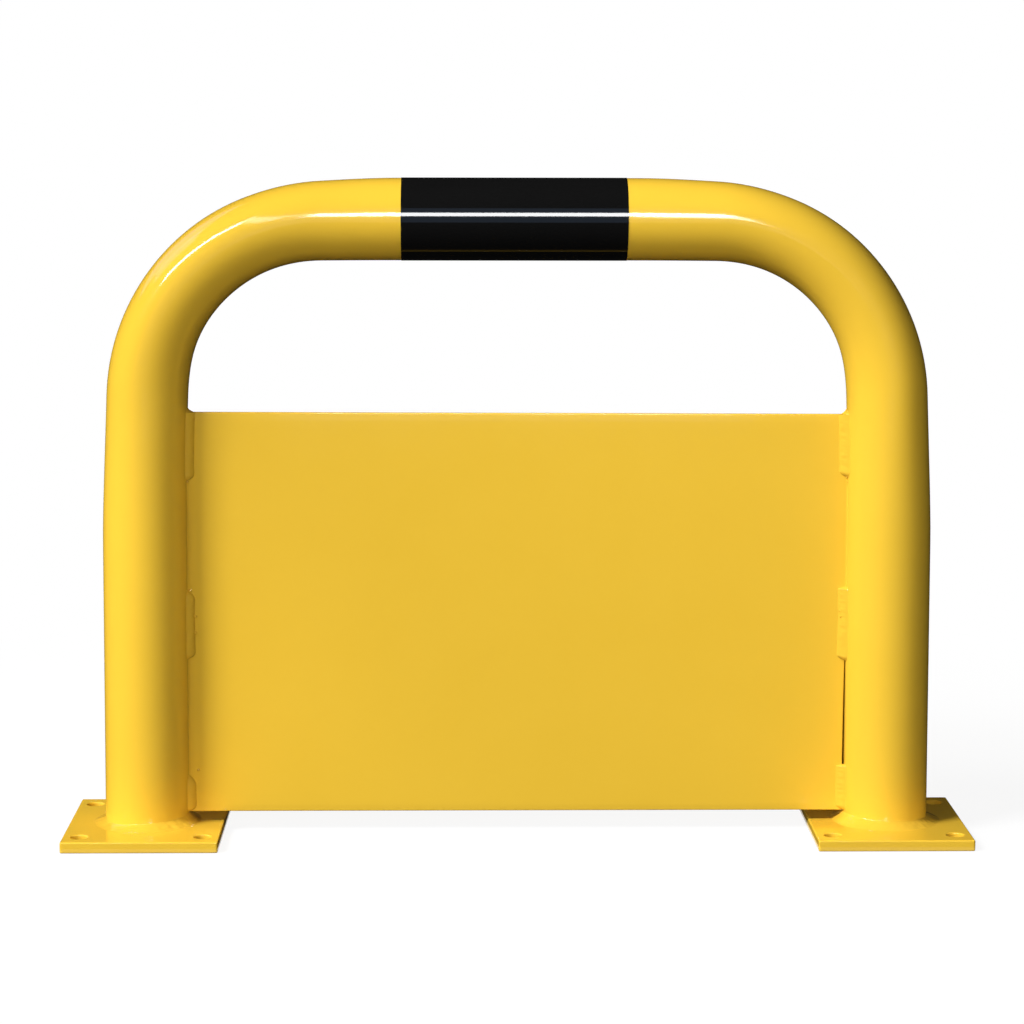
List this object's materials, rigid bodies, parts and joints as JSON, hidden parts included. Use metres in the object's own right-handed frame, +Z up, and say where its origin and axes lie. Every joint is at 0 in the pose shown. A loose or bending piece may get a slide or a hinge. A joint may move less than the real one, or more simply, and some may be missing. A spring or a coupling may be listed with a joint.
{
  "type": "hoop barrier",
  "caption": "Bolt-down hoop of bent round steel tube on drilled base plates, with a flat guard sheet between its legs and a black band on its bar.",
  "frame": {"origin": "on the floor, midway between the legs and in the middle plane of the guard sheet", "axes": "+X across the hoop from the left leg to the right leg, +Y through the hoop from the front to the back, +Z up"},
  "size_m": [0.814, 0.16, 0.5983],
  "materials": {
    "tube_coat": "glossy traffic-yellow powder coat over steel tube",
    "plate_coat": "glossy traffic-yellow powder coat over cut steel plate",
    "panel_coat": "glossy traffic-yellow powder coat over steel sheet",
    "weld_coat": "glossy traffic-yellow powder coat over hand-laid weld",
    "band_film": "glossy black film"
  },
  "bodies": {
    "root": {"hoop_tube": "tube_coat", "left_base_plate": "plate_coat", "right_base_plate": "plate_coat", "underrun_panel": "panel_coat", "left_foot_weld": "weld_coat", "right_foot_weld": "weld_coat", "left_front_stitch_bottom": "weld_coat", "left_front_stitch_middle": "weld_coat", "left_front_stitch_top": "weld_coat", "right_front_stitch_bottom": "weld_coat", "right_front_stitch_middle": "weld_coat", "right_front_stitch_top": "weld_coat", "left_back_stitch_lower": "weld_coat", "left_back_stitch_upper": "weld_coat", "right_back_stitch_lower": "weld_coat", "right_back_stitch_upper": "weld_coat", "black_band": "band_film"}
  },
  "joints": []
}
